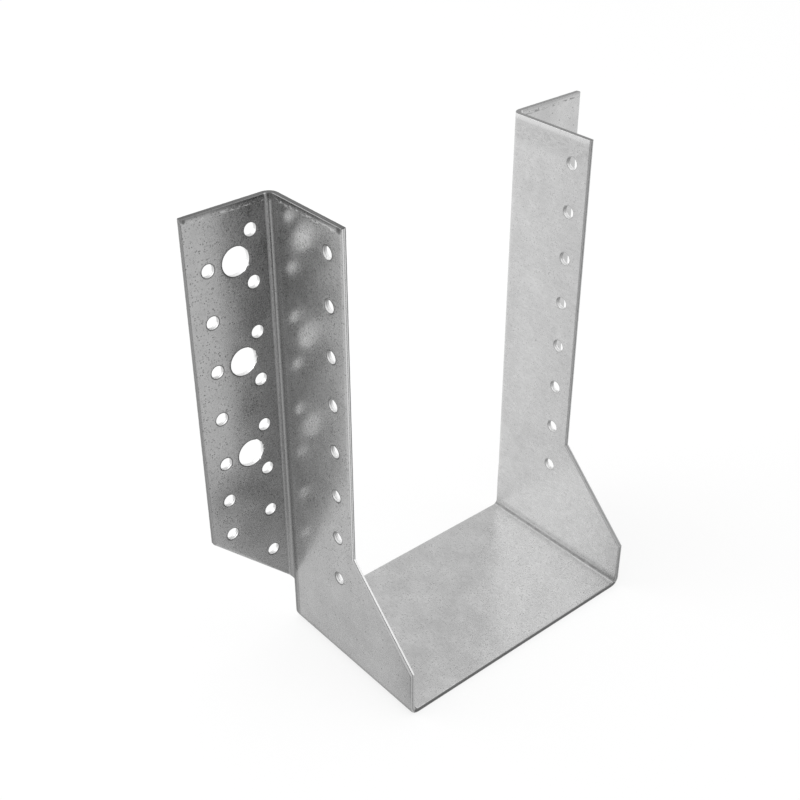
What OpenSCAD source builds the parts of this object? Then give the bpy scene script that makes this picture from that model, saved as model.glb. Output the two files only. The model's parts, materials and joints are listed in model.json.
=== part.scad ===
// Face-fixed joist hanger, cut from one flat steel blank and folded: a seat, two walls and two header flanges.
// The joist comes in along +Y and stands on the seat. The header's face is the plane that the flanges lie against.
// The origin is the middle of the footprint, on the plane that the seat's underside stands on.

/* [Pocket] */
// Clear width between the walls, which is the joist's width
joist_w = 115; // [60:1:200]
// Height of the walls and flanges above the seat's top
wall_h = 191; // [140:1:320]
// Depth of the walls, from the header's face to their front edge
wall_d = 41.5; // [30:0.5:60]
// Depth of the seat, from the header's face to its front edge
seat_d = 76; // [64:0.5:120]
// Clearance between the header's face and the back edge of the seat
back_gap = 2; // [0.5:0.25:3.5]

/* [Sheet] */
// Thickness of the steel sheet
sheet_t = 2; // [1:0.1:3]
// Inside radius of every bend
bend_r = 2; // [1:0.1:4]

/* [Cuts] */
// Height above the seat's top of the seat's front corners, where the walls' slanted edge ends
toe_h = 19; // [10:0.5:30]
// Angle that the walls' slanted front edge makes with the seat
gusset_a = 45; // [30:1:60]
// Height above the seat's top at which a flange's slanted bottom edge meets the fold
flange_base_h = 20; // [12:0.5:40]
// Angle that a flange's slanted bottom edge makes with the seat
flange_a = 45; // [20:1:55]

/* [Nail holes] */
// Diameter of a nail hole
nail_d = 5; // [3:0.1:6]
// Distance between the nail holes of a row, and between every other bolt hole
pitch = 20; // [16:0.5:30]
// Distance from the top edge to the first nail holes
nail_top = 11.5; // [8:0.5:20]
// Distance from the walls' front edge to their nail holes
wall_nail_edge = 8.25; // [6:0.25:12]
// Distance from the fold to the inner row of a flange
fold_nail_gap = 8.75; // [7:0.25:14]
// Distance between the two rows of a flange
row_gap = 18; // [17:0.25:30]
// Distance from the outer row to the flange's outer edge
flange_nail_edge = 8.75; // [6:0.25:14]
// Step down from the outer row's last full pitch to its last hole but one
closing_step = 17; // [10:0.5:20]
// Step down from there to the outer row's last hole
last_step = 16; // [10:0.5:20]
// Least distance from the middle of a nail hole to a flange's slanted edge
nail_margin = 5; // [4:0.25:7]

/* [Bolt holes] */
// Diameter of a bolt hole
bolt_d = 11; // [8:0.5:13]
// Width of metal left between a bolt hole and the nail hole beside it
bolt_web = 3.25; // [2:0.25:5]
// Least distance from the middle of a bolt hole to a flange's slanted edge
bolt_margin = 16; // [12:0.5:24]

/* [Hidden] */
$fn = 96;
steel = [0.66, 0.67, 0.68];
// How far a cutting shape runs past what it cuts
over = 1;

// Half the distance between the walls' outer faces
wall_x = joist_w / 2 + sheet_t;
// Outside radius of every bend
bend_out = bend_r + sheet_t;
// Rows and outer edge of a flange, from the middle of the pocket
inner_x = wall_x + fold_nail_gap;
outer_x = inner_x + row_gap;
flange_x = outer_x + flange_nail_edge;
bolt_x = outer_x - nail_d / 2 - bolt_web - bolt_d / 2;
// Height at which the walls' front edge turns into the slanted one
gusset_h = toe_h + (seat_d - wall_d) * tan(gusset_a);

// Height of a flange's slanted edge at a distance x from the middle of the pocket
function slant_h(x) = flange_base_h + (x - wall_x) * tan(flange_a);
// Lowest height at which a hole keeps its margin from that edge
function lowest(x, margin) = slant_h(x) + margin / cos(flange_a);
// Heights of a row that starts at the top and goes down in equal steps
function row(top, step, bottom) = [for (z = top; z >= bottom; z = z - step) z];

inner_rows = row(wall_h - nail_top, pitch, lowest(inner_x, nail_margin));
outer_top = wall_h - nail_top - pitch / 2;
outer_full = row(outer_top, pitch, lowest(outer_x, nail_margin) + closing_step + last_step);
outer_end = outer_full[len(outer_full) - 1] - closing_step;
outer_rows = concat(outer_full, [outer_end, outer_end - last_step]);
bolt_rows = row(outer_top, 2 * pitch, lowest(bolt_x, bolt_margin));

// Upright rectangle whose two bottom corners have radius r, with its bottom at z
module cup(w, z, top, r) {
    translate([-w / 2, z + r]) square([w, top - z - r]);
    translate([r - w / 2, z]) square([w - 2 * r, 2 * r]);
    for (side = [-1, 1]) translate([side * (w / 2 - r), z + r]) circle(r);
}

// Section across the pocket: seat, two bends and two walls
module pocket_section() {
    difference() {
        cup(2 * wall_x, -sheet_t, wall_h, bend_out);
        cup(joist_w, 0, wall_h + over, bend_r);
    }
}

// Side outline of a wall: back edge, top, front edge, slanted edge and toe
module side_outline() {
    polygon([
        [-back_gap, -sheet_t],
        [-back_gap, flange_base_h],
        [-bend_out, flange_base_h],
        [-bend_out, wall_h],
        [-wall_d, wall_h],
        [-wall_d, gusset_h],
        [-seat_d, toe_h],
        [-seat_d, -sheet_t]
    ]);
}

// Seat and walls: the section runs along the joist and is cut to the side outline
module pocket() {
    intersection() {
        rotate([90, 0, 0]) linear_extrude(seat_d) pocket_section();
        translate([-wall_x - over, 0, 0]) rotate([90, 0, 90]) linear_extrude(2 * (wall_x + over)) side_outline();
    }
}

// Section of a flange seen from above: the last of the wall, the bend outwards and the flange
module flange_section() {
    translate([joist_w / 2, -2 * bend_out]) square([sheet_t, bend_out]);
    translate([wall_x + bend_r, -bend_out]) intersection() {
        difference() {
            circle(bend_out);
            circle(bend_r);
        }
        translate([-bend_out, 0]) square(bend_out);
    }
    translate([wall_x + bend_r, -sheet_t]) square([flange_x - wall_x - bend_r, sheet_t]);
}

// Front outline of a flange: it rises along the slanted edge from the fold to the outer edge
module front_outline() {
    polygon([
        [joist_w / 2, slant_h(joist_w / 2)],
        [flange_x, slant_h(flange_x)],
        [flange_x, wall_h],
        [joist_w / 2, wall_h]
    ]);
}

// One flange with its bend, on the +X side
module flange() {
    intersection() {
        linear_extrude(wall_h) flange_section();
        rotate([90, 0, 0]) linear_extrude(2 * bend_out) front_outline();
    }
}

// Row of holes along Y, at the distance x on both flanges
module flange_holes(x, rows, d) {
    for (side = [-1, 1], z = rows)
        translate([side * x, over, z]) rotate([90, 0, 0]) cylinder(d = d, h = sheet_t + 2 * over);
}

// Row of holes through both walls
module wall_holes() {
    for (z = inner_rows)
        translate([-wall_x - over, wall_nail_edge - wall_d, z])
            rotate([0, 90, 0]) cylinder(d = nail_d, h = 2 * (wall_x + over));
}

// The whole folded sheet, with the header's face at y = 0 and the seat's top at z = 0
module folded_sheet() {
    difference() {
        union() {
            pocket();
            flange();
            mirror([1, 0, 0]) flange();
        }
        wall_holes();
        flange_holes(inner_x, inner_rows, nail_d);
        flange_holes(outer_x, outer_rows, nail_d);
        flange_holes(bolt_x, bolt_rows, bolt_d);
    }
}

module hanger() {
    color(steel) translate([0, seat_d / 2, sheet_t]) folded_sheet();
}

hanger();
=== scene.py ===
# %% [markdown]
# # A joist hanger, cut from one sheet and folded
# A joist hanger is a cradle of zinc-coated steel that carries the end of a timber joist against a header.
# Its maker punches the holes, cuts the outline, and then folds the flat blank four times: up at each side
# of the seat, and outwards where each wall meets its flange.
# This script goes the same way. It draws the flat blank with its cut edges, folds it in code onto the
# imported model, and gives it one finish. A solid with booleans would have the same outline, but it wouldn't
# know where on the sheet a point lies, and both the marks of the folds and the marks of the shears follow
# the sheet.

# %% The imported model
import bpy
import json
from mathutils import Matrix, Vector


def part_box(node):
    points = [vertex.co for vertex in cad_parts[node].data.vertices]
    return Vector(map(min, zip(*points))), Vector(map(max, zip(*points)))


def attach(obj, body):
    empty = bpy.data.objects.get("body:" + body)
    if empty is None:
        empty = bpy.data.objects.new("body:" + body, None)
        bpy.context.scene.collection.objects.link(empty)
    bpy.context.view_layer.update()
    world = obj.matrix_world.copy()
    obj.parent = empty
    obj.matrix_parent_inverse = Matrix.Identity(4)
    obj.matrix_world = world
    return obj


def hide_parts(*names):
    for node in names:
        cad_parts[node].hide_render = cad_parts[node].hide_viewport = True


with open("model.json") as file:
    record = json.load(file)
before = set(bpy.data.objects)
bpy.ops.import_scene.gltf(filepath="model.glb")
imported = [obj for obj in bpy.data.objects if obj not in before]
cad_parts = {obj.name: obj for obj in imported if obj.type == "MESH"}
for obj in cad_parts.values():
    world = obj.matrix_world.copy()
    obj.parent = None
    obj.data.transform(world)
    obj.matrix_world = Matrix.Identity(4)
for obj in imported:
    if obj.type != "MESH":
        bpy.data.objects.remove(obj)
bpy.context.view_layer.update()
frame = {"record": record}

# %% [markdown]
# ## The camera
# The hanger is seen from the front, from its left and from above, through a lens a little longer than
# normal. The angles could be tried out by eye. Here they come from the rows of holes, whose pitch is known:
# a camera was solved for that puts every hole where it shows. It looks at a point inside the pocket.

# %% The camera
import math

import bpy
from mathutils import Quaternion, Vector

MM = 0.001
looks_at = Vector((-13.2, 22.5, 95.9)) * MM
distance = 495.9 * MM
azimuth = math.radians(-40.22)
elevation = math.radians(32.81)
roll = math.radians(-0.21)
level_part = math.cos(elevation)
to_the_side = math.sin(azimuth) * level_part
to_the_front = math.cos(azimuth) * level_part
towards_camera = Vector((to_the_side, -to_the_front, math.sin(elevation)))


def place_camera():
    """The scene's camera, at its distance from the point it looks at."""
    lens = bpy.data.cameras.new("camera")
    lens.sensor_width = 36
    lens.lens = 56.6
    lens.clip_start = 0.01
    camera = bpy.data.objects.new("camera", lens)
    camera.rotation_mode = "QUATERNION"
    camera.rotation_quaternion = towards_camera.to_track_quat("Z", "Y") @ Quaternion((0, 0, 1), roll)
    camera.location = looks_at + distance * towards_camera
    bpy.context.scene.collection.objects.link(camera)
    bpy.context.scene.camera = camera
    return camera


camera = place_camera()
bpy.context.scene.view_settings.view_transform = "Standard"
print("camera at, mm:", [round(1000 * c) for c in camera.location])

# %% [markdown]
# ## The sheet's sizes
# Everything follows from a few sizes: the sheet's thickness, the radius of its bends and the places of its
# cuts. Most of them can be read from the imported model's box and from its mounts, which say where the seat,
# the header's face and the holes are. Only the cuts that no mount names are written here, in millimetres.

# %% The sheet's sizes
import numpy as np

mounts = {mount["name"]: mount for mount in frame["record"]["mounts"]}
low, high = (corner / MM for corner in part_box("hanger"))
sheet = mounts["joist_seat"]["pos_m"][2] / MM
half_joist = mounts["joist_nails_right_a"]["pos_m"][0] / MM
header_face = high.y
seat_front = low.y
seat_back = header_face - 2
wall_front = header_face - 41.5
bend_inside = 2.0
toe_height = sheet + 19
gusset_height = toe_height + (wall_front - seat_front)
flange_low = sheet + 20 + (high.x - half_joist - sheet)
print("sheet", round(sheet, 2), "mm, pocket", round(2 * half_joist, 1), "mm wide")

# %% [markdown]
# ## Flat distances
# A bend doesn't stretch the middle of a sheet: there, a quarter turn is as long as a quarter of a circle
# with the bend's middle radius. So each point of the hanger has a flat address. One number, `u`, runs from
# the middle of the seat over the bottom bend and up the wall. The other, `v`, runs from the front to the
# back and round the fold into the flange. `flat_u` and `flat_v` turn a height on the wall and a distance on
# the flange into them.

# %% Flat distances
bend_middle = bend_inside + sheet / 2
quarter = bend_middle * math.pi / 2
seat_half = half_joist - bend_inside
bend_height = sheet + bend_inside
wall_start = seat_half + quarter
fold_x = half_joist + sheet + bend_inside
fold_start = header_face - sheet - bend_inside
flange_start = fold_start + quarter


def flat_u(height):
    """The flat distance from the middle of the seat to a height on a wall."""
    return wall_start + height - bend_height


def flat_v(x):
    """The flat distance that belongs to a distance x from the middle of the pocket, on a flange."""
    return flange_start + x - fold_x


print("the blank is", round(2 * flat_u(high.z), 1), "mm long")

# %% [markdown]
# ## The blank's outline
# The outline is a closed chain of straight cuts, so only its corners are listed, for the right half, from
# the toe at the seat's front round to the seat's back. The left half mirrors it. The shears leave the
# corners sharp, with a rounding of a few tenths of a millimetre. A modifier could bevel them, but then the
# rings of the cut edge would no longer match each other point for point, so the roundings are part of the
# chain.

# %% The blank's outline
corner_radius = 0.4
corner_steps = 4
cut_step = 0.9


def turned(direction, angle):
    """A flat direction, turned to its left by an angle."""
    c, s = math.cos(angle), math.sin(angle)
    return np.array([c * direction[0] - s * direction[1], s * direction[0] + c * direction[1]])


def outline_corners():
    """The corners of the flat blank, with the metal on the left of each cut."""
    flange_edge = flat_v(high.x)
    foot = flange_low - (flange_edge - seat_back)
    right = [
        (flat_u(toe_height), seat_front),
        (flat_u(gusset_height), wall_front),
        (flat_u(high.z), wall_front),
        (flat_u(high.z), flange_edge),
        (flat_u(flange_low), flange_edge),
        (flat_u(foot), seat_back),
    ]
    left = [(-u, v) for u, v in reversed(right)]
    return [np.array(corner) for corner in right + left]


def corner_arc(corner, before, after, inset):
    """The small rounding at one corner, where the cut turns from one direction into the next."""
    turn = math.atan2(before[0] * after[1] - before[1] * after[0], before @ after)
    side = math.copysign(1, turn)
    into_metal = turned(before, math.pi / 2)
    mitre = into_metal + turned(after, math.pi / 2)
    place = corner + inset * mitre / (1 + before @ after)
    radius = max(corner_radius - side * inset, 0.02)
    start = place - before * radius * math.tan(abs(turn) / 2)
    centre = start + side * radius * into_metal
    angles = [turn * k / corner_steps for k in range(corner_steps + 1)]
    return np.array([centre - side * radius * turned(into_metal, angle) for angle in angles])


def outline(inset):
    """The outline moved into the metal by an inset, with the same number of points at every inset."""
    corners = outline_corners()
    nexts = corners[1:] + corners[:1]
    directions = [(b - a) / np.linalg.norm(b - a) for a, b in zip(corners, nexts)]
    arcs = [corner_arc(c, directions[i - 1], directions[i], inset) for i, c in enumerate(corners)]
    chain = []
    for i, arc in enumerate(arcs):
        steps = round(np.linalg.norm(nexts[i] - corners[i]) / cut_step)
        along = np.linspace(0, 1, steps + 1)[1:-1, None]
        chain += [arc, arc[-1] + along * (arcs[(i + 1) % len(arcs)][0] - arc[-1])]
    return np.concatenate(chain)


print("points along the outline:", len(outline(0)))

# %% [markdown]
# ## The holes
# The nail and bolt holes are punched in straight rows. Their places aren't typed in again: each pattern of
# the imported record says where its middle is and how far apart its holes are, and a hole on a wall or a
# flange gets its flat address from that. So the holes can't drift away from the imported model.

# %% The holes
nail_points = 36
bolt_points = 60
largest_nail_radius = 4.0


def pattern_holes(mount):
    """The flat middle and radius of each hole that one mount names."""
    x, y, z = (c / MM for c in mount["pos_m"])
    half_pitch = mount["dims"].get("spacing_y_mm", 0) / 2
    heights = {z - half_pitch, z + half_pitch}
    if mount["axis"][1]:
        x = mount["dims"]["spacing_x_mm"] / 2
        flat = [(side * flat_u(h), flat_v(x)) for side in (-1, 1) for h in sorted(heights)]
    else:
        flat = [(math.copysign(flat_u(h), x), y) for h in sorted(heights)]
    return [(np.array(middle), mount["dims"]["hole_r_mm"]) for middle in flat]


def hole(middle, radius, inset):
    """A punched hole as a ring of points, walked with the metal on the left."""
    count = bolt_points if radius > largest_nail_radius else nail_points
    angles = -2 * math.pi * np.arange(count) / count
    return middle + (radius + inset) * np.stack([np.cos(angles), np.sin(angles)], 1)


holes = []
for mount in mounts.values():
    if mount["kind"] == "bolt_pattern":
        holes += pattern_holes(mount)
print("holes:", len(holes))

# %% [markdown]
# ## The cut edge
# A shear or a punch doesn't cut straight through. It first pulls the face down into a soft shoulder, then
# cuts a smooth bright band, and then the rest of the sheet breaks off and leaves a dull, slightly ragged
# band with a thin burr. Everything here was cut from the outer face, so the shoulder lies there and the
# burr on the inner face. The big punch was worn: it tore small teeth out of one side of each bolt hole's
# near rim.
# Each edge is swept through a short list of rings. A ring has an inset into the metal and a level through
# the sheet, from -1 on the shoulder's side to 1 on the burr's side. The ragged break and the torn rim are
# the same rings moved by a little noise. A texture could not do this, because both show in the outline of
# the holes.

# %% The cut edge
wear_width = 1.3
shoulder = [(wear_width, -1.0), (0.95, -0.998), (0.65, -0.985), (0.4, -0.955), (0.22, -0.915), (0.1, -0.86)]
bright_band = [(0.03, -0.8), (0.0, -0.7), (0.0, -0.06)]
broken_band = [(0.04, 0.04), (0.07, 0.3), (0.07, 0.6), (0.05, 0.86)]
burr = [(0.06, 0.94), (0.15, 0.98), (0.4, 0.997), (0.8, 1.0), (wear_width, 1.0)]
rings = shoulder + bright_band + broken_band + burr
cut_inset = 0.08
ragged = 0.07
torn = 1.5
tear_scale = 1.3
print("rings across a cut edge:", len(rings))

# %% [markdown]
# ## Which cuts shine
# The hanger is cut with several tools, and no two leave the same edge. The slanted cut on the left side is
# bright towards the inner face, the upright cut above it towards the outer face, and the cuts along the
# top, along the seat's front and down the flanges are dull all over. The punched holes are light all round,
# except at the upper back of the walls' holes. One material per cut would do, but a hanger is one piece of
# steel with one finish. So each point of an edge keeps three values: the two levels between which it is
# bright, and how light the zinc-grey of the rest is. A level of 2 lies outside the sheet, so a cut that is
# bright from there on is bright nowhere.

# %% Which cuts shine
nowhere = 2.0
everywhere = (-nowhere, nowhere)
all_dull = (nowhere, nowhere)
outer_edge = (-nowhere, -0.6)
outer_part = (-nowhere, 0.5)
inner_half = (-0.1, nowhere)
bolt_hole_grey = 0.8
nail_hole_grey = 0.68
wall_hole_grey = 0.85


def cut_values(points):
    """Where an edge is bright and how light the rest of it is, at flat points along the outline."""
    height, v = np.abs(points[:, 0]), points[:, 1]
    left = points[:, 0] < 0
    slanted = (height > flat_u(toe_height)) & (height < flat_u(gusset_height)) & (v < seat_back)
    at_flange = v > flat_v(high.x) - corner_radius
    at_top = height > flat_u(high.z) - corner_radius
    at_seat = (v < seat_front + corner_radius) & (height < seat_half + 0.4 * quarter)
    at_back = (v > seat_back - corner_radius) & (height < flat_u(toe_height))
    values = np.where(left[:, None], (*outer_part, 0.25), (*outer_edge, 0.38))
    values[slanted] = (*all_dull, 0.42)
    values[slanted & left] = (*inner_half, 0.5)
    values[left & (height < flat_u(toe_height)) & (v < seat_back)] = (*all_dull, 0.6)
    values[at_flange] = (*all_dull, 0.28)
    values[at_top & left] = (*all_dull, 0.14)
    values[at_top & ~left] = (*all_dull, 0.28)
    values[at_seat] = (*all_dull, 0.22)
    values[at_back] = (*outer_edge, 0.38)
    return values


def hole_values(points, middle, radius):
    """The same for a hole: an even light grey, darker at the upper back of a wall's hole."""
    light = bolt_hole_grey if radius > largest_nail_radius else nail_hole_grey
    values = np.tile((*all_dull, light), (len(points), 1))
    if middle[1] < fold_start:
        side = math.copysign(1, middle[0])
        around = (points - middle) / radius
        upper_back = np.clip(0.7 * side * around[:, 0] + 0.7 * around[:, 1], 0, 1)
        shade = 0.6 if side > 0 else 0.4
        values[:, 2] = wall_hole_grey - shade * upper_back
    return values


print("the seat's front edge:", cut_values(np.array([[0.0, seat_front]])).round(2))

# %% [markdown]
# ## Meshing the flat blank
# The two faces need triangles that follow the outline and the holes and are fine across the bends. Filling
# the outline with one polygon would give long thin triangles that fold badly. Instead, a grid of points
# with narrow steps in the bends is laid over the blank, the points near a cut are dropped, and a Delaunay
# triangulation joins the rest to the rings.

# %% Meshing the flat blank
from mathutils import geometry, noise

face_step = 2.0
bend_steps = 10


def spaced(start, stop, step):
    """Evenly spaced places from start up to stop, without stop."""
    return np.linspace(start, stop, max(1, round((stop - start) / step)), endpoint=False)


def grid_points():
    """The grid over the whole blank, narrow across the bends."""
    seat = spaced(0, seat_half, face_step)
    bend = spaced(seat_half, wall_start, quarter / bend_steps)
    wall = spaced(wall_start, flat_u(high.z), face_step)
    right = np.concatenate([seat, bend, wall])
    us = np.concatenate([-right[:0:-1], right])
    wall_vs = spaced(seat_front, fold_start, face_step)
    fold_vs = spaced(fold_start, flange_start, quarter / bend_steps)
    flange_vs = spaced(flange_start, flat_v(high.x), face_step)
    vs = np.concatenate([wall_vs, fold_vs, flange_vs])
    return np.stack(np.meshgrid(us, vs), -1).reshape(-1, 2)


def inside(points, loop):
    """Which points lie inside a closed chain."""
    result = np.zeros(len(points), bool)
    for a, b in zip(loop, np.roll(loop, -1, 0)):
        if a[1] == b[1]:
            continue
        crosses = (a[1] > points[:, 1]) != (b[1] > points[:, 1])
        at = a[0] + (points[:, 1] - a[1]) * (b[0] - a[0]) / (b[1] - a[1])
        result ^= crosses & (points[:, 0] < at)
    return result


def clear_of_holes(points, margin):
    """Which points lie further than a margin from the rim of every hole."""
    result = np.ones(len(points), bool)
    for middle, radius in holes:
        result &= np.linalg.norm(points - middle, axis=1) > radius + margin
    return result


clearance = 0.5
inner_points = grid_points()
inner_points = inner_points[inside(inner_points, outline(wear_width + clearance))]
inner_points = inner_points[clear_of_holes(inner_points, wear_width + clearance)]
print("points inside the faces:", len(inner_points))

# %% The borders of the faces
shear_fit = 1.0
punch_fit = 1.4


def hole_loop(middle, radius):
    """What the sweep needs of one hole: its ring at an inset, its values, and the fit of its tool."""

    def ring_at(inset):
        return hole(middle, radius, inset)

    def values_at(points):
        return hole_values(points, middle, radius)

    return ring_at, values_at, punch_fit


loops = [(outline, cut_values, shear_fit)]
loops += [hole_loop(middle, radius) for middle, radius in holes]
borders = [ring_at(wear_width) for ring_at, _, _ in loops]
print("borders:", len(borders), "with points:", sum(len(border) for border in borders))

# %% Joining the points to triangles
keep_inside = 1
same_point = 1e-5


def face_triangles():
    """Triangles between the borders and the inner points, as places in one list of both."""
    points = np.concatenate(borders + [inner_points])
    edges = []
    start = 0
    for border in borders:
        count = len(border)
        edges += [(start + k, start + (k + 1) % count) for k in range(count)]
        start += count
    flat = [Vector(p) for p in points]
    made = geometry.delaunay_2d_cdt(flat, edges, [], keep_inside, same_point)
    origin = [first[0] for first in made[3]]
    triangles = np.array([[origin[k] for k in face] for face in made[2]])
    middles = points[triangles].mean(1)
    triangles = triangles[clear_of_holes(middles, wear_width)]
    a, b, c = (points[triangles[:, k]] for k in range(3))
    area = (b[:, 0] - a[:, 0]) * (c[:, 1] - a[:, 1]) - (b[:, 1] - a[:, 1]) * (c[:, 0] - a[:, 0])
    triangles[area < 0] = triangles[area < 0][:, ::-1]
    return triangles


triangles = face_triangles()
print("triangles on each face:", len(triangles))

# %% [markdown]
# ## Folding
# Bending a mesh with modifiers would need four of them in the right order, each with its own limits. A
# formula is shorter and exact. It takes a flat address and a level through the sheet, and gives the place
# in the folded hanger: first round the bottom bend, then round the fold. At the foot of the fold the sheet
# runs out flat into the wall's heel, because the wall goes on below the flange, so there the fold fades in
# with height.

# %% Folding
foot_low = sheet + 14
foot_high = sheet + 22


def folded(flat):
    """Places in the folded hanger, in mm, of flat addresses (u, v, w), with w from the sheet's middle."""
    u, v, w = np.abs(flat[:, 0]), flat[:, 1], flat[:, 2]
    bottom = np.clip((u - seat_half) / bend_middle, 0, math.pi / 2)
    x = np.minimum(u, seat_half) + (bend_middle - w) * np.sin(bottom)
    z = bend_height - (bend_middle - w) * np.cos(bottom) + np.maximum(u - wall_start, 0)
    fade = np.clip((z - foot_low) / (foot_high - foot_low), 0, 1)
    fade = fade * fade * (3 - 2 * fade)
    fold = np.clip((v - fold_start) / bend_middle, 0, math.pi / 2)
    turned_x = fold_x - (bend_middle + w) * np.cos(fold) + np.maximum(v - flange_start, 0)
    turned_y = np.minimum(v, fold_start) + (bend_middle + w) * np.sin(fold)
    x = x + fade * (turned_x - (half_joist + sheet / 2 - w))
    y = v + fade * (turned_y - v)
    return np.stack([np.where(flat[:, 0] < 0, -x, x), y, z], 1)


def unit(vectors):
    """The same vectors at length one."""
    return vectors / np.linalg.norm(vectors, axis=1, keepdims=True)


def sheet_axes(flat):
    """The directions in which u, v and the sheet's thickness run at each flat address after folding."""
    tiny = 0.01
    along_u = unit(folded(flat + [tiny, 0, 0]) - folded(flat - [tiny, 0, 0]))
    along_v = unit(folded(flat + [0, tiny, 0]) - folded(flat - [0, tiny, 0]))
    through = unit(np.cross(along_u, along_v))
    return along_u, along_v, through


print("top of the fold, mm:", folded(np.array([[flat_u(high.z), fold_start + quarter / 2, 0.0]])).round(1))

# %% [markdown]
# ## From rings to a closed skin
# Each loop is swept through its rings, and the two faces are closed with the triangles. A ring's normal
# comes from the slope of the edge's profile there, turned with the folded sheet, so the faces shade
# perfectly flat right up to the shoulder and the shoulder shades round, however the triangles lie.
# Kept at every point for the finish are the flat address, whether it lies on a cut edge or on a face, its
# level through the cut, how near it is to the rim of a hole, and the cut's three values. A punch fits its
# die more closely than shears do, so round a hole the same profile is drawn in tighter.

# %% Sweeping the cut edges
half = sheet / 2


def outward(loop):
    """The flat direction out of the metal at each point of a closed chain."""
    along = unit(np.roll(loop, -1, 0) - loop) + unit(loop - np.roll(loop, 1, 0))
    return unit(np.stack([along[:, 1], -along[:, 0]], 1))


def tightened(inset, tightness):
    """An inset drawn in towards the cut, with the ends of the profile left in place."""
    return wear_width * (inset / wear_width) ** tightness


def profile_slopes(tightness):
    """For each ring, the share of the outward and of the upward direction in its normal."""
    path = np.array([(-tightened(inset, tightness), half * level) for inset, level in rings])
    steps = unit(np.diff(path, axis=0))
    joined = np.concatenate([steps[:1], steps[:-1] + steps[1:], steps[-1:]])
    slopes = unit(np.stack([joined[:, 1], -joined[:, 0]], 1))
    slopes[0] = (0, -1)
    slopes[-2:] = (0, 1)
    return slopes


def torn_line(loop, inset, level, out):
    """The points of one ring, a little ragged in the break and torn at one side of a bolt hole."""
    line = loop(inset)
    if 0 < level < 0.95:
        spots = [noise.noise(Vector((*p, 3 * level)) * tear_scale) for p in line]
        line = line - ragged * np.abs(spots)[:, None] * out
    if len(line) == bolt_points and level < -0.5:
        teeth = [max(0.0, noise.noise(Vector((*p, 7.0)) * tear_scale) - 0.05) for p in loop(0)]
        share = (1 - inset / wear_width) * np.maximum(out[:, 1], 0)
        line = line - torn * (np.array(teeth) * share)[:, None] * out
    return line


def swept(loop, values, tightness):
    """One loop swept through all rings: flat addresses, flat normals and the values for the finish."""
    edge = loop(0)
    out = outward(edge)
    kept = values(edge)
    addresses, normals, marks = [], [], []
    for (inset, level), (sideways, upwards) in zip(rings, profile_slopes(tightness)):
        line = torn_line(loop, tightened(inset, tightness), level, out)
        height = np.full((len(line), 1), half * level)
        addresses.append(np.concatenate([line, height], 1))
        normals.append(np.concatenate([sideways * out, np.full((len(line), 1), upwards)], 1))
        rim = 1 - tightened(inset, tightness) / wear_width if tightness > shear_fit else 0.0
        same = np.tile([float(inset < cut_inset), level, rim], (len(line), 1))
        marks.append(np.concatenate([same, kept], 1))
    return np.concatenate(addresses), np.concatenate(normals), np.concatenate(marks)


def ring_quads(first, count):
    """The faces between the rings of one loop whose points start at a place in the list."""
    k = np.arange(count)
    after = (k + 1) % count
    rows = [first + r * count for r in range(len(rings) - 1)]
    return [np.stack([r + k, r + after, r + count + after, r + count + k], 1) for r in rows]


# %% The closed skin
def closed_skin():
    """All points of the folded sheet's skin with their normals and values, and its faces."""
    addresses, normals, marks, quads = [], [], [], []
    start, upper, lower = 0, [], []
    for loop, values, tightness in loops:
        address, normal, mark = swept(loop, values, tightness)
        count = len(address) // len(rings)
        quads += ring_quads(start, count)
        lower.append(start + np.arange(count))
        upper.append(start + (len(rings) - 1) * count + np.arange(count))
        start += len(address)
        addresses.append(address)
        normals.append(normal)
        marks.append(mark)
    for level, ends in ((1, upper), (-1, lower)):
        count = len(inner_points)
        ends.append(start + np.arange(count))
        start += count
        addresses.append(np.concatenate([inner_points, np.full((count, 1), level * half)], 1))
        normals.append(np.tile([0, 0, level], (count, 1)))
        marks.append(np.tile([0, level, 0, *everywhere, 0], (count, 1)))
    upper, lower = np.concatenate(upper), np.concatenate(lower)
    faces = [row.tolist() for row in quads]
    faces += [upper[triangles].tolist(), lower[triangles][:, ::-1].tolist()]
    return np.concatenate(addresses), np.concatenate(normals), np.concatenate(marks), sum(faces, [])


addresses, flat_normals, marks, faces = closed_skin()
print("points:", len(addresses), "faces:", len(faces))

# %% [markdown]
# ## The folded sheet
# The flat skin now becomes the hanger. Smooth shading alone would round the flat faces near their cuts, and
# flat shading would show the steps of the bends. A modifier could weigh the normals by area and come close.
# The true normal of every point is known from the fold's formula, so it is simply set.

# %% The folded sheet
def fold_sheet():
    """The whole hanger as one mesh in metres, with its exact normals and its values for the finish."""
    axes = sheet_axes(addresses)
    normals = unit(sum(axis * flat_normals[:, [k]] for k, axis in enumerate(axes)))
    mesh = bpy.data.meshes.new("folded_sheet")
    mesh.from_pydata((folded(addresses) * MM).tolist(), [], faces)
    mesh.shade_smooth()
    mesh.normals_split_custom_set_from_vertices(normals.tolist())
    mesh.attributes.new("blank", "FLOAT_VECTOR", "POINT").data.foreach_set("vector", addresses.ravel())
    for k, name in enumerate(("cut", "level", "rim", "bright_from", "bright_to", "dull_grey")):
        mesh.attributes.new(name, "FLOAT", "POINT").data.foreach_set("value", marks[:, k].copy())
    piece = bpy.data.objects.new("folded_sheet", mesh)
    bpy.context.scene.collection.objects.link(piece)
    return piece


hanger = fold_sheet()
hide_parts("hanger")
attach(hanger, "root")
print("triangles:", sum(len(face.vertices) - 2 for face in hanger.data.polygons))

# %% [markdown]
# ## Shader sums
# The finish is built from masks that are added, multiplied and mixed. Wiring each sum by hand hides the
# idea, so one small class wraps a socket: Python's own operators add the Math nodes, and one method adds
# any other node.

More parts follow.
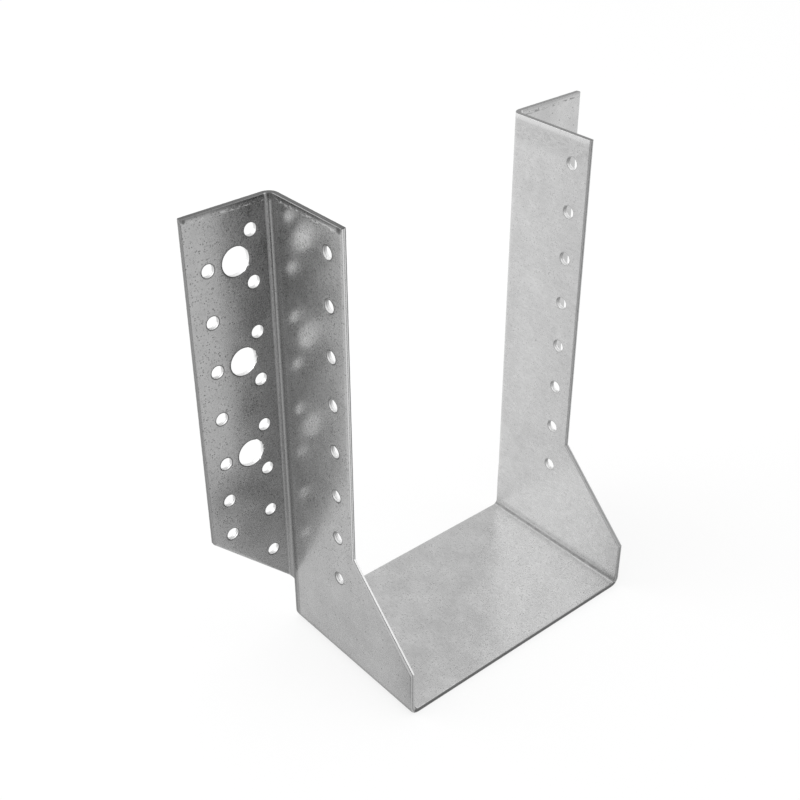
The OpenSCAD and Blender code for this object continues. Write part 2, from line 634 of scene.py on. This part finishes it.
# %% Shader sums
class Wire:
    """A socket in a node tree that takes part in sums as a number does."""

    def __init__(self, tree, socket=None):
        self.tree = tree
        self.socket = socket

    def add(self, kind, settings, sockets, output=0):
        """Adds a node, sets it, fills its sockets with values or wires, and gives one of its outputs."""
        node = self.tree.nodes.new("ShaderNode" + kind)
        for name, value in settings.items():
            setattr(node, name, value)
        for name, value in sockets.items():
            if isinstance(value, Wire):
                self.tree.links.new(value.socket, node.inputs[name])
            else:
                node.inputs[name].default_value = value
        return Wire(self.tree, node.outputs[output]) if node.outputs else None

    def math(self, operation, *values):
        return self.add("Math", {"operation": operation}, dict(enumerate(values)))

    def __add__(self, other):
        return self.math("ADD", self, other)

    def __radd__(self, other):
        return self.math("ADD", other, self)

    def __sub__(self, other):
        return self.math("SUBTRACT", self, other)

    def __rsub__(self, other):
        return self.math("SUBTRACT", other, self)

    def __mul__(self, other):
        return self.math("MULTIPLY", self, other)

    def __rmul__(self, other):
        return self.math("MULTIPLY", other, self)

    def __abs__(self):
        return self.math("ABSOLUTE", self)


# %% Masks and mixtures
def rise(value, start, stop):
    """A mask that goes smoothly from 0 to 1 while a value goes from start to stop."""
    ends = {"Value": value, "From Min": start, "From Max": stop}
    return value.add("MapRange", {"interpolation_type": "SMOOTHSTEP"}, ends)


def mixed(first, second, mask):
    """A colour that goes from the first to the second with a mask."""
    colours = {"Factor": mask, 6: first, 7: second}
    return mask.add("Mix", {"data_type": "RGBA"}, colours, output=2)


def grey(level):
    """A neutral colour of one level."""
    return (level, level, level, 1)


def grey_by(value, lightest=1.0):
    """A neutral colour that goes from black to the lightest grey with a value."""
    return mixed(grey(0.0), grey(lightest), value)


def material_tree(name):
    """A new material with an empty node tree, as a wire to start from."""
    material = bpy.data.materials.new(name)
    material.use_nodes = True
    material.node_tree.nodes.clear()
    return material, Wire(material.node_tree)


# %% [markdown]
# ## The marks on the steel
# Some of the marks along the bends and the top edges are painted shade and painted highlights.
# Hot-dip zinc on cold-rolled sheet is a dull mirror. It shows blurred pictures of what stands close to it,
# such as the flange's holes in the wall beside them. On it lie the marks of its making, from a faint cloudy
# mottle to scuffs along the edges.
# Painting these marks would need an image. Each one is a small function here, which gives a mask from 0 to
# 1 over the flat address, so that a mark lies on the sheet as it lay on the flat blank.

# %% Places on the sheet
def attribute(wire, name, output="Fac"):
    """One of the values that every point of the folded sheet keeps."""
    return wire.add("Attribute", {"attribute_name": name}, {}, output=output)


def parts_of(place):
    """The three numbers of an address."""
    return [place.add("SeparateXYZ", {}, {0: place}, output=axis) for axis in "XYZ"]


def noise_over(place, scale, detail=2.0, rough=0.5):
    """Noise from 0 to 1 over a place, with a scale in features per millimetre."""
    sockets = {"Vector": place, "Scale": scale, "Detail": detail, "Roughness": rough}
    return place.add("TexNoise", {}, sockets)


def stretched(place, along_u, along_v):
    """The flat address with its two directions scaled, so that a pattern on it stretches."""
    factors = {0: place, 1: (along_u, along_v, 1.0)}
    return place.add("VectorMath", {"operation": "MULTIPLY"}, factors)


def band(value, middle, core, soft):
    """A stripe: 1 within the core's half width of the middle, and 0 beyond the soft half width."""
    return 1 - rise(abs(value - middle), core, soft)


# %% [markdown]
# ## Pits, scratches and smudges
# The zinc has small dark pits, the press drew long faint scratches, and handling left dark smudges at the
# corners. Plain noise would give blots without a size. A cell pattern gives pits of one size, of which a
# share is kept. A scratch is a thin slice of noise that runs one way only, and a smudge is the distance
# from one flat address.

# %% Pits, scratches and smudges
def pits(place, cell, radius, share):
    """Small round spots, one in a share of the cells of a size in millimetres."""
    cells = {"Vector": place, "Scale": 1 / cell}
    distance = place.add("TexVoronoi", {"voronoi_dimensions": "2D"}, cells)
    draw = place.add("TexVoronoi", {"voronoi_dimensions": "2D"}, cells, output="Color")
    luck = place.add("SeparateColor", {}, {"Color": draw})
    return (1 - rise(distance, 0.5 * radius / cell, radius / cell)) * rise(luck, 1 - share, 1.05 - share)


def scratches(place):
    """A few long, faint, straight lines across the sheet, broken here and there."""
    u, v, _ = parts_of(place)
    across = u + 0.12 * v
    line = place.add("TexNoise", {"noise_dimensions": "1D"}, {"W": across, "Scale": 0.8, "Detail": 0.0})
    gaps = noise_over(stretched(place, 0.12, 0.05), 1.0, 2.0)
    return rise(line, 0.74, 0.8) * rise(gaps, 0.5, 0.6) * rise(-1 * u, 130.0, 190.0)


def smudge(place, u, v, radius):
    """A soft spot at one flat address."""
    on_face = place.add("VectorMath", {"operation": "MULTIPLY"}, {0: place, 1: (1.0, 1.0, 0.0)})
    ends = {0: on_face, 1: (u, v, 0.0)}
    distance = place.add("VectorMath", {"operation": "DISTANCE"}, ends, output="Value")
    return 1 - rise(distance, 0.3 * radius, radius)


# %% [markdown]
# ## The bow of the sheet
# A sheet off a coil is never quite flat: it bows away on both sides of a fold. That is too slight to show
# in an outline but plain in a reflection. The mesh could be bent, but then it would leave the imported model.
# So the bow is part of the bump only. It is a parabola over the flange and over the first part of the wall,
# and runs straight on from there.

# %% The bow of the sheet
bow_on_flange = 0.0007
bow_on_wall = 0.0008
bow_reach = 38.0


def bow(v):
    """How far the outer face curves back on both sides of the fold, in millimetres."""
    over_flange = v.math("MAXIMUM", v - flange_start, 0.0)
    over_wall = v.math("MAXIMUM", fold_start - v, 0.0)
    curved = v.math("MINIMUM", over_wall, bow_reach)
    straight = 2 * bow_reach * (over_wall - curved)
    return -bow_on_flange * over_flange * over_flange - bow_on_wall * (curved * curved + straight)


print("the flange's edge bows by, mm:", round(bow_on_flange * (flat_v(high.x) - flange_start) ** 2, 2))


# %% [markdown]
# ## Where a mark lies
# Most marks ask the same things of a point: how far it is along the sheet, whether it is on the inner or on
# the outer face, on the left or on the right half, and what the mottle, the grain and the streaks are
# there. Asking again in each mark would repeat long sums, so one small class keeps the answers. The greys
# of the marks stand above it, from the darkest to the lightest.

# %% Where a mark lies
corner_black = grey(0.1)
bare_steel = grey(0.12)
# The grey of painted shade in the creases of the bends, and of rubbed places.
shade_and_rub_grey = grey(0.15)
pit_black = grey(0.16)
scratch_grey = grey(0.2)
# A worn grey, also used for painted shade under the bottom bend.
wear_and_shade_grey = grey(0.25)
# The grey of grime, and of painted shade up the wall from the bottom bend.
grime_and_shade = grey(0.3)
scraped_zinc = grey(0.7)
# The grey of the cuts' bright band, and of the painted highlight along the top edges.
burnish_and_highlight_grey = grey(0.75)
# The grey of the painted highlight along the fold.
fold_highlight_grey = grey(0.8)


class Spot:
    """What the marks need to know of a point on the sheet: its place, its face and the noises there."""

    def __init__(self, wire):
        self.blank = attribute(wire, "blank", "Vector")
        self.u, self.v, w = parts_of(self.blank)
        self.inner_face = rise(w, -0.2, 0.2)
        self.outer_face = 1 - self.inner_face
        self.left_side = rise(-1 * self.u, -1.0, 1.0)
        self.from_top = flat_u(high.z) - abs(self.u)
        self.cloud = noise_over(self.blank, 0.07, 3.0)
        self.mottle = noise_over(self.blank, 0.25, 4.0, 0.65)
        self.raw_grain = noise_over(stretched(self.blank, 0.7, 1.0), 1.6, 2.0, 0.7)
        self.grain = 0.5 + (self.raw_grain - 0.5) * (1 - 0.45 * self.inner_face)
        self.streaks = noise_over(stretched(self.blank, 0.9, 0.3), 1.0, 4.0, 0.7)


# %% [markdown]
# ## Zinc and its specks
# The clean coat is a mid grey. Clouds, mottle and grain each move it a little, and on it lie fine dark
# specks, most of them on the left outer face. One noise would do for a far view. Seen this close the coat
# has a large, a middle and a fine pattern, so the three are added with a weight each.

# %% Zinc and its specks
def zinc_colour(spot):
    """The clean coat: a mid grey with clouds, mottle and grain, and faint streaks on the inner face."""
    level = 0.32 + 0.18 * spot.cloud + 0.14 * spot.mottle + 0.12 * spot.grain
    level = level + 0.2 * spot.inner_face * (spot.streaks - 0.5)
    return grey_by(level)


def specks(spot):
    """Fine dark specks, most of them high on the left outer face, and some more on the seat."""
    dots = pits(spot.blank, 1.0, 0.34, 0.4) * rise(spot.mottle, 0.42, 0.6)
    dots = dots.math("MAXIMUM", dots, rise(spot.raw_grain, 0.62, 0.7))
    on_seat = spot.inner_face * (1 - rise(abs(spot.u), seat_half - 2, seat_half))
    by_side = 0.4 + 0.6 * spot.outer_face * spot.left_side + 0.8 * on_seat
    by_height = 0.4 + 0.6 * rise(abs(spot.u), wall_start + 20, wall_start + 60) + 0.1 * on_seat
    return dots * by_side * by_height


def speckled(face, spot, pit, speck):
    """The coat with its pits, specks and scratches."""
    face = mixed(face, pit_black, (0.25 + 0.3 * spot.outer_face) * pit)
    face = mixed(face, bare_steel, 0.75 * speck)
    return mixed(face, scratch_grey, 0.25 * scratches(spot.blank))


# %% [markdown]
# ## Marks at the top
# The hangers were parted at their top edges, so the sheet was held and rubbed there. Outside lie grime, a
# worn lip and a row of short dashes, bright on the left side and dark on the right. Inside lie a haze of
# fine streaks and a painted highlight along the edge. The corners of the left side are smudged as well. A
# wear mask from the mesh would mark all edges alike, so these marks are stripes by the distance from the
# top, broken up by noise, and the smudges have an address each.

# %% Marks at the top
def top_grime(spot):
    """The uneven strip of grime under a top edge."""
    drift = noise_over(stretched(spot.blank, 0.4, 0.12), 1.0, 3.0)
    return spot.outer_face * (1 - rise(spot.from_top + 3 * drift, 1.6, 4.2))


def top_dashes(spot):
    """The row of short dashes under a top edge."""
    dashes = noise_over(stretched(spot.blank, 1.4, 0.35), 1.0, 3.0)
    return spot.outer_face * band(spot.from_top, 2.0, 0.25, 0.8) * rise(dashes, 0.51, 0.57)


def marked_at_top(face, spot, dash):
    """The coat with grime, haze, worn lips, dashes and a painted highlight along the top edges."""
    haze = spot.inner_face * band(spot.from_top, 6.0, 2.0, 6.0) * rise(spot.streaks, 0.4, 0.6)
    lip = spot.outer_face * (1 - rise(spot.from_top, 0.4, 1.3)) * (0.3 + 0.7 * spot.left_side)
    # A painted highlight along the inner face's top edge.
    top_highlight = spot.inner_face * band(spot.from_top, 0.6, 0.6, 1.9)
    face = mixed(face, grime_and_shade, (0.15 + 0.25 * spot.left_side) * top_grime(spot))
    face = mixed(face, wear_and_shade_grey, 0.33 * haze)
    face = mixed(face, bare_steel, 0.6 * lip)
    face = mixed(face, burnish_and_highlight_grey, 0.4 * top_highlight)
    face = mixed(face, scraped_zinc, dash * spot.left_side)
    return mixed(face, wear_and_shade_grey, 0.6 * dash * (1 - spot.left_side))


def top_corners(spot):
    """Dark smudges at the left outer face's top, in the fold and at the two corners."""
    top = -flat_u(high.z - 1.2)
    at_fold = smudge(spot.blank, top, fold_start + quarter / 2, 2.2)
    at_flange = smudge(spot.blank, top, flat_v(high.x - 1.2), 1.1)
    at_wall = smudge(spot.blank, top, wall_front + 1.5, 1.8)
    return spot.outer_face * (at_fold + at_flange + at_wall)


# %% [markdown]
# ## Marks along the bends
# The fold is a dull band, with a thin line of painted shade on the wall's side and a painted highlight on the
# flange's side. The bottom bend has painted shade underneath, where it nears the floor, and a dark line of
# painted shade in its crease, with a softer painted shade up the wall. The mesh knows its curvature, but the
# lines lie beside the bends as much as in them, so they too are stripes over the flat address.

# %% Marks along the bends
def marked_at_fold(face, spot, fold_highlight):
    """The coat with the fold's dull band, a line of painted shade and a line of painted highlight, and
    painted shade under the bottom bend.
    """
    fold_band = spot.outer_face * band(spot.v, fold_start + 0.4 * quarter, 0.6 * quarter, 0.75 * quarter)
    # fold_shade is painted shade in the crease of the fold, on the wall's side.
    fold_shade = spot.outer_face * band(spot.v, fold_start + 1.1, 0.5, 1.2)
    # Painted shade under the bottom bend, where it nears the floor.
    underneath = band(abs(spot.u), seat_half + 0.55 * quarter, 0.2 * quarter, 0.6 * quarter)
    face = mixed(face, wear_and_shade_grey, 0.55 * fold_band)
    face = mixed(face, shade_and_rub_grey, 0.5 * fold_shade)
    face = mixed(face, wear_and_shade_grey, 0.7 * spot.outer_face * underneath)
    # The light line where the flange begins is a painted highlight.
    return mixed(face, fold_highlight_grey, 0.85 * fold_highlight)


def marked_at_bottom(face, spot, bottom_crease_shade):
    """The coat with painted shade in the bottom bend's crease, as a dark line and as a soft shade up the
    wall, and with its rubbed places.
    """
    # Painted shade up the wall from the bottom bend's crease.
    shade = spot.inner_face * band(abs(spot.u), seat_half + 0.9 * quarter, 0.8, 3.4)
    rubbed = band(abs(spot.u), wall_start + 0.2, 0.3, 1.4) * rise(spot.streaks, 0.52, 0.6)
    broken = 0.85 + 0.15 * rise(spot.streaks, 0.4, 0.55)
    face = mixed(face, grime_and_shade, 0.4 * shade)
    face = mixed(face, shade_and_rub_grey, broken * bottom_crease_shade)
    return mixed(face, shade_and_rub_grey, 0.35 * spot.inner_face * rubbed)


# %% [markdown]
# ## Galvanised steel
# One finish covers the whole hanger. Its colour starts with the clean coat and takes each mark in turn,
# from the pits to the dark rims of the holes. Zinc is a metal all over, so the marks change its colour and
# how much it blurs, and never how metallic it is. The grain, the pits and the bow also tilt the surface
# through one bump. The cut edges could be a second material, but a mask at the points gives them the same
# steel in another colour.

# %% The coat and the cut edges
def coat_colour(wire, spot, pit, speck, dash, fold_highlight, bottom_crease_shade):
    """The colour of the faces, with all their marks."""
    face = speckled(zinc_colour(spot), spot, pit, speck)
    face = marked_at_top(face, spot, dash)
    face = marked_at_fold(face, spot, fold_highlight)
    face = mixed(face, corner_black, 0.8 * top_corners(spot))
    face = marked_at_bottom(face, spot, bottom_crease_shade)
    rim = rise(attribute(wire, "rim"), 0.5, 0.9)
    return mixed(face, bare_steel, (0.3 + 0.5 * spot.outer_face) * rim)


def cut_colour(wire):
    """The colour of the cut edges and where they shine, from the values kept at their points."""
    level = attribute(wire, "level")
    bright_from = attribute(wire, "bright_from")
    bright_to = attribute(wire, "bright_to")
    shining = rise(level - bright_from, 0.0, 0.12) * (1 - rise(level - bright_to, 0.0, 0.12))
    return mixed(grey_by(attribute(wire, "dull_grey")), burnish_and_highlight_grey, shining), shining


# %% Galvanised steel
def steel_finish():
    """The finish of the whole hanger."""
    material, wire = material_tree("galvanised_steel")
    spot = Spot(wire)
    pit = pits(spot.blank, 4.0, 0.42, 0.3)
    speck = specks(spot)
    dash = top_dashes(spot)
    # A thin line of painted highlight along the fold, on the flange's side.
    fold_highlight = spot.outer_face * band(spot.v, flange_start - 0.1, 0.3, 0.65)
    # A dark line of painted shade in the crease of the bottom bend.
    bottom_crease_shade = spot.inner_face * band(abs(spot.u), seat_half + 0.5 * quarter, 0.4, 1.5)
    face = coat_colour(wire, spot, pit, speck, dash, fold_highlight, bottom_crease_shade)
    cut = attribute(wire, "cut")
    edge, shining = cut_colour(wire)
    rough = 0.2 + 0.1 * rise(spot.grain, 0.36, 0.64) + 0.06 * rise(spot.cloud, 0.35, 0.65)
    rough = rough + 0.2 * cut * (1 - shining) + 0.2 * fold_highlight + 0.12 * bottom_crease_shade + 0.3 * dash
    height = 0.006 * (spot.grain + 0.5 * spot.mottle - 1.3 * pit - speck) + spot.outer_face * bow(spot.v)
    bump = wire.add("Bump", {}, {"Strength": 1.0, "Distance": MM, "Height": height})
    sockets = {"Base Color": mixed(face, edge, cut), "Metallic": 1.0, "Roughness": rough, "Normal": bump}
    shader = wire.add("BsdfPrincipled", {}, sockets)
    wire.add("OutputMaterial", {}, {"Surface": shader})
    return material


hanger.data.materials.append(steel_finish())
print("finish nodes:", len(hanger.data.materials[0].node_tree.nodes))

# %% [markdown]
# ## The floor
# The hanger stands on a plain white floor. Metal shows what is round it more than it shows lamps, and the
# dim part of the studio is where the photographer stands. Two mirrors at a right angle send the gaze back
# where it came from, so the corner of the left flange and wall shows just that part, and looks deep.
# A dark cloth there would show in the picture, and so would a gap between the lamps. So the floor has two
# colours: white where the camera sees it, and greys in reflections, with a dim fan that opens from the
# hanger towards the camera. It also gives a little light of its own, which keeps the picture's ground white
# under lamps that are soft enough for the metal.

# %% The floor in reflections
floor_stops = [(-0.08, 0.76), (-0.055, 0.82), (-0.03, 0.77), (0.0, 0.74), (0.04, 1.0)]


def dim_fan(x, y):
    """How dim the floor is in the strip that opens from the hanger towards the camera."""
    away = -1 * x - y
    beside = abs(0.7 * x - 0.47 * y + 0.041)
    towards_hanger = 0.54 * x + 0.64 * y
    depth = 0.78 * rise(away, 0.08, 0.125) + 0.12 * rise(away, 0.34, 0.46)
    depth = depth - 0.2 * band(away, 0.33, 0.04, 0.16)
    return depth * (1 - rise(beside + 0.25 * towards_hanger, -0.045, 0.04))


def floor_in_mirror(wire):
    """The floor's grey as the metal shows it: softly shaded from the left to the back, with the dim fan."""
    place = wire.add("NewGeometry", {}, {}, output="Position")
    x, y, _ = parts_of(place)
    to_the_back = 0.65 * x + 0.76 * y
    level = floor_stops[0][1]
    for (start, before), (end, after) in zip(floor_stops, floor_stops[1:]):
        ends = {"Value": to_the_back, "From Min": start, "From Max": end, "To Max": after - before}
        level = level + wire.add("MapRange", {}, ends)
    return level * (1 - dim_fan(x, y))


# %% The floor
def white_floor():
    """A large matt floor at the height on which the hanger stands."""
    reach = 6.0
    mesh = bpy.data.meshes.new("floor")
    square = [(-reach, -reach, 0), (reach, -reach, 0), (reach, reach, 0), (-reach, reach, 0)]
    mesh.from_pydata(square, [], [(0, 1, 2, 3)])
    floor = bpy.data.objects.new("floor", mesh)
    bpy.context.scene.collection.objects.link(floor)
    material, wire = material_tree("floor_white")
    mirrored = wire.add("LightPath", {}, {}, output="Is Glossy Ray")
    seen = wire.add("LightPath", {}, {}, output="Is Camera Ray")
    level = floor_in_mirror(wire)
    colour = mixed(grey(0.95), grey_by(level), mirrored)
    matt = wire.add("BsdfDiffuse", {}, {"Color": colour})
    own_light = mixed(grey(1.0), grey_by(level, 1.1), mirrored)
    glow = wire.add("Emission", {}, {"Color": own_light, "Strength": 1.0})
    own_share = 0.78 * seen + 0.5 * mirrored
    shader = wire.add("MixShader", {}, {0: own_share, 1: matt, 2: glow})
    wire.add("OutputMaterial", {}, {"Surface": shader})
    mesh.materials.append(material)
    return floor


floor = white_floor()
print("floor nodes:", len(floor.data.materials[0].node_tree.nodes))

# %% [markdown]
# ## The studio's light
# A product studio is a white room with large soft lamps. Bare lamps would give hard shadows, and small hot
# spots in the zinc. So the room itself gives most of the light, a wide soft sun overhead shapes the faces,
# and two soft boxes, one behind on the left and one in front on the right, lift the walls. The lamps
# themselves don't show in the picture.

# %% The studio's light
def white_room(level, overhead):
    """A world that is white where it is seen, a little less so overhead in mirrors, and lights the rest."""
    world = bpy.data.worlds.new("room")
    bpy.context.scene.world = world
    world.use_nodes = True
    world.node_tree.nodes.clear()
    wire = Wire(world.node_tree)
    _, _, up = parts_of(wire.add("TexCoord", {}, {}, output="Generated"))
    shown = 1 - overhead * rise(up, 0.45, 0.8)
    seen = wire.add("LightPath", {}, {}, output="Is Camera Ray")
    seen = seen + wire.add("LightPath", {}, {}, output="Is Transmission Ray")
    mirrored = wire.add("LightPath", {}, {}, output="Is Glossy Ray")
    strength = level + (1 - level) * seen + (shown - level) * mirrored
    shader = wire.add("Background", {}, {"Color": grey(1.0), "Strength": strength})
    wire.add("OutputWorld", {}, {"Surface": shader})


def soft_sun(strength, spread):
    """One wide, soft light from straight above, like a large diffuser."""
    light = bpy.data.lights.new("diffuser", "SUN")
    light.energy = strength
    light.angle = math.radians(spread)
    lamp = bpy.data.objects.new("diffuser", light)
    bpy.context.scene.collection.objects.link(lamp)


def soft_box(name, direction, size, brightness):
    """A square lamp in a direction from the hanger, with the brightness of its face in a reflection."""
    away = 1.5
    light = bpy.data.lights.new(name, "AREA")
    light.shape = "SQUARE"
    light.size = size
    light.energy = brightness * math.pi * size * size
    lamp = bpy.data.objects.new(name, light)
    lamp.location = away * Vector(direction).normalized()
    lamp.rotation_euler = Vector(direction).to_track_quat("Z", "Y").to_euler()
    lamp.visible_camera = False
    bpy.context.scene.collection.objects.link(lamp)


white_room(0.72, 0.2)
soft_sun(0.7, 60)
soft_box("box_back_left", (-0.54, 0.64, 0.54), 1.3, 1.5)
soft_box("box_front_right", (0.54, -0.54, 0.64), 0.7, 0.4)

# %% [markdown]
# ## The size of the dressed hanger
# The dressed hanger must stay as large as the imported model.

# %% The size of the dressed hanger
import json
